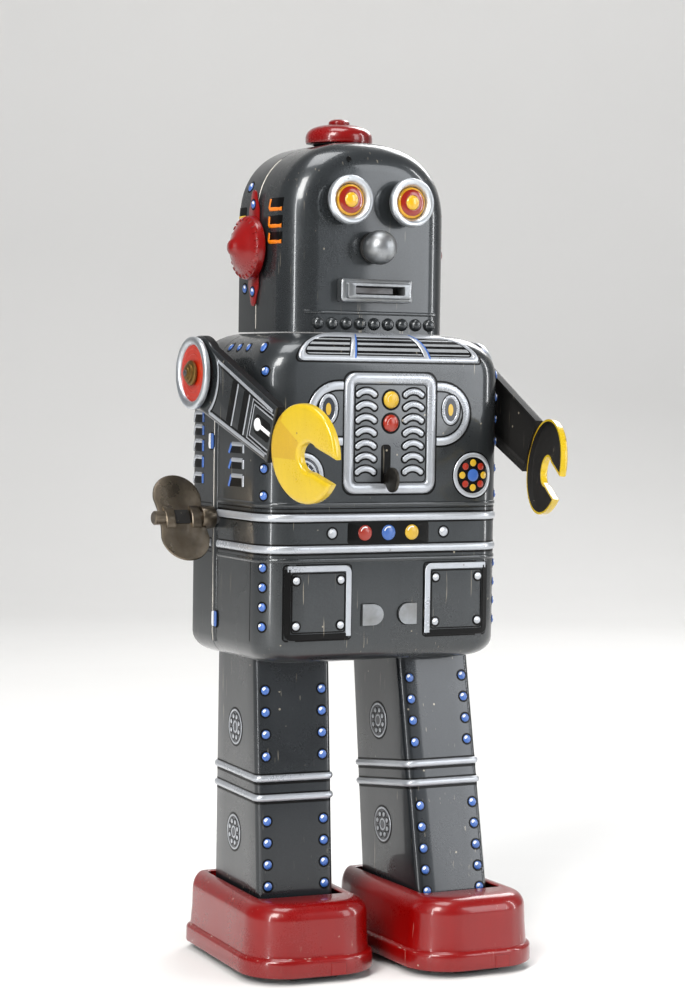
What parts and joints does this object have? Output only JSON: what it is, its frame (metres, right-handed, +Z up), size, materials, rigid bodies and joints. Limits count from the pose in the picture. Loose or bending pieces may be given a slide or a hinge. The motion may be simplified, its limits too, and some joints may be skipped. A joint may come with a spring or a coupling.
{
  "type": "walking humanoid robot",
  "caption": "Clockwork tinplate walking robot with swinging legs, ankle-jointed roller feet, raisable claw arms and a side winding key.",
  "frame": {"origin": "middle of the bounding box at ground level; the robot's own middle plane is at x = +4.721 mm because the winding key sticks out on its right", "axes": "+Z up, the robot faces -Y, its own left hand is on +X"},
  "size_m": [0.1058, 0.0852, 0.2391],
  "materials": {
    "litho_grey": "semi-gloss printed tinplate, dark gunmetal grey with silver, blue and black print",
    "litho_arm": "semi-gloss printed tinplate, dark grey arm and yellow hand",
    "litho_leg": "semi-gloss printed tinplate, dark grey with blue printed rivets",
    "red_tin": "glossy red lacquer on tinplate",
    "shoulder_red": "orange-red printed disc with a bare rim",
    "bare_tin": "bare bright tinplate, lightly worn",
    "eye_amber": "glossy amber lens with a red ring",
    "brass": "dull worn brass",
    "key_steel": "bronzed spring steel, worn",
    "mill_steel": "plain mill-finish steel"
  },
  "bodies": {
    "chassis": {"torso_front_shell": "litho_grey", "torso_back_shell": "litho_grey", "head_front_shell": "litho_grey", "head_back_shell": "litho_grey", "eye_bezel_left": "bare_tin", "eye_bezel_right": "bare_tin", "eye_lens_left": "eye_amber", "eye_lens_right": "eye_amber", "nose_dome": "bare_tin", "mouth_frame": "bare_tin", "mouth_plate": "mill_steel", "ear_bracket_left": "red_tin", "ear_bracket_right": "red_tin", "ear_left": "red_tin", "ear_right": "red_tin", "crown_dome": "red_tin", "crown_button": "red_tin", "motor_plate_left": "mill_steel", "motor_plate_right": "mill_steel", "motor_pillar_front": "mill_steel", "motor_pillar_back": "mill_steel", "motor_pillar_lower": "mill_steel", "motor_pillar_middle": "mill_steel", "ratchet_click": "mill_steel", "mainspring": "key_steel", "hip_shaft": "mill_steel"},
    "start_lever": {"start_lever": "mill_steel"},
    "winder": {"winding_key": "key_steel", "winding_arbor": "mill_steel", "ratchet_wheel": "mill_steel"},
    "great_wheel": {"great_wheel": "brass"},
    "crank": {"crank_shaft": "mill_steel", "crank_pinion": "brass", "crank_disc_left": "mill_steel", "crank_disc_right": "mill_steel"},
    "left_arm": {"arm_shell_left": "litho_arm", "shoulder_disc_left": "shoulder_red", "shoulder_boss_left": "brass", "arm_pin_left": "mill_steel"},
    "left_leg": {"leg_shell_left": "litho_leg", "hip_lever_left": "mill_steel"},
    "left_foot": {"foot_upper_left": "red_tin", "sole_plate_left": "bare_tin", "ankle_pin_left": "mill_steel"},
    "left_toe_roller": {"toe_roller_left": "mill_steel"},
    "left_heel_roller": {"heel_roller_left": "mill_steel"},
    "right_arm": {"arm_shell_right": "litho_arm", "shoulder_disc_right": "shoulder_red", "shoulder_boss_right": "brass", "arm_pin_right": "mill_steel"},
    "right_leg": {"leg_shell_right": "litho_leg", "hip_lever_right": "mill_steel"},
    "right_foot": {"foot_upper_right": "red_tin", "sole_plate_right": "bare_tin", "ankle_pin_right": "mill_steel"},
    "right_toe_roller": {"toe_roller_right": "mill_steel"},
    "right_heel_roller": {"heel_roller_right": "mill_steel"}
  },
  "joints": [
    {"name": "right_leg_swing", "type": "hinge", "parent": "chassis", "child": "right_leg", "pos_m": [-0.01708, 0.02019, 0.097], "axis": [-1, 0, 0], "range_deg": [-4.35, 11.65]},
    {"name": "left_leg_swing", "type": "hinge", "parent": "chassis", "child": "left_leg", "pos_m": [0.02652, 0.02019, 0.097], "axis": [-1, 0, 0], "range_deg": [-11.65, 4.35]},
    {"name": "right_ankle_tilt", "type": "hinge", "parent": "right_leg", "child": "right_foot", "pos_m": [-0.01708, 0.02063, 0.012], "axis": [-1, 0, 0], "range_deg": [-11.65, 4.35]},
    {"name": "left_ankle_tilt", "type": "hinge", "parent": "left_leg", "child": "left_foot", "pos_m": [0.02652, 0.00983, 0.01263], "axis": [-1, 0, 0], "range_deg": [-4.35, 11.65]},
    {"name": "crank_spin", "type": "hinge", "parent": "chassis", "child": "crank", "pos_m": [0.00472, 0.01159, 0.1142], "axis": [1, 0, 0], "range_deg": [-48.94, 131.06]},
    {"name": "great_wheel_spin", "type": "hinge", "parent": "chassis", "child": "great_wheel", "pos_m": [0.00472, 0.02509, 0.1252], "axis": [1, 0, 0], "range_deg": [-34.19, 12.77]},
    {"name": "key_wind", "type": "hinge", "parent": "chassis", "child": "winder", "pos_m": [-0.04128, 0.02509, 0.1252], "axis": [-1, 0, 0], "continuous": true},
    {"name": "right_arm_raise", "type": "hinge", "parent": "chassis", "child": "right_arm", "pos_m": [-0.03978, 0.02509, 0.1657], "axis": [-1, 0, 0], "range_deg": [-12, 110]},
    {"name": "left_arm_raise", "type": "hinge", "parent": "chassis", "child": "left_arm", "pos_m": [0.04922, 0.02509, 0.1657], "axis": [-1, 0, 0], "range_deg": [-12, 110]},
    {"name": "right_toe_roller_spin", "type": "hinge", "parent": "right_foot", "child": "right_toe_roller", "pos_m": [-0.01944, -0.01078, 0.0037], "axis": [0.9972, -0.075, 0], "continuous": true},
    {"name": "right_heel_roller_spin", "type": "hinge", "parent": "right_foot", "child": "right_heel_roller", "pos_m": [-0.01599, 0.03509, 0.0037], "axis": [0.9972, -0.075, 0], "continuous": true},
    {"name": "left_toe_roller_spin", "type": "hinge", "parent": "left_foot", "child": "left_toe_roller", "pos_m": [0.02597, -0.02167, 0.0037], "axis": [0.9998, -0.0175, 0], "continuous": true},
    {"name": "left_heel_roller_spin", "type": "hinge", "parent": "left_foot", "child": "left_heel_roller", "pos_m": [0.02677, 0.02432, 0.0037], "axis": [0.9998, -0.0175, 0], "continuous": true},
    {"name": "start_lever_slide", "type": "slide", "parent": "chassis", "child": "start_lever", "axis": [0, 0, 1], "range_m": [0, 0.008]}
  ],
  "couplings": [
    {"joint": "left_leg_swing", "follows": "right_leg_swing", "ratio": -1},
    {"joint": "right_ankle_tilt", "follows": "right_leg_swing", "ratio": -1},
    {"joint": "left_ankle_tilt", "follows": "right_leg_swing", "ratio": 1},
    {"joint": "crank_spin", "follows": "right_leg_swing", "ratio": 11.25},
    {"joint": "great_wheel_spin", "follows": "right_leg_swing", "ratio": -2.9348}
  ]
}
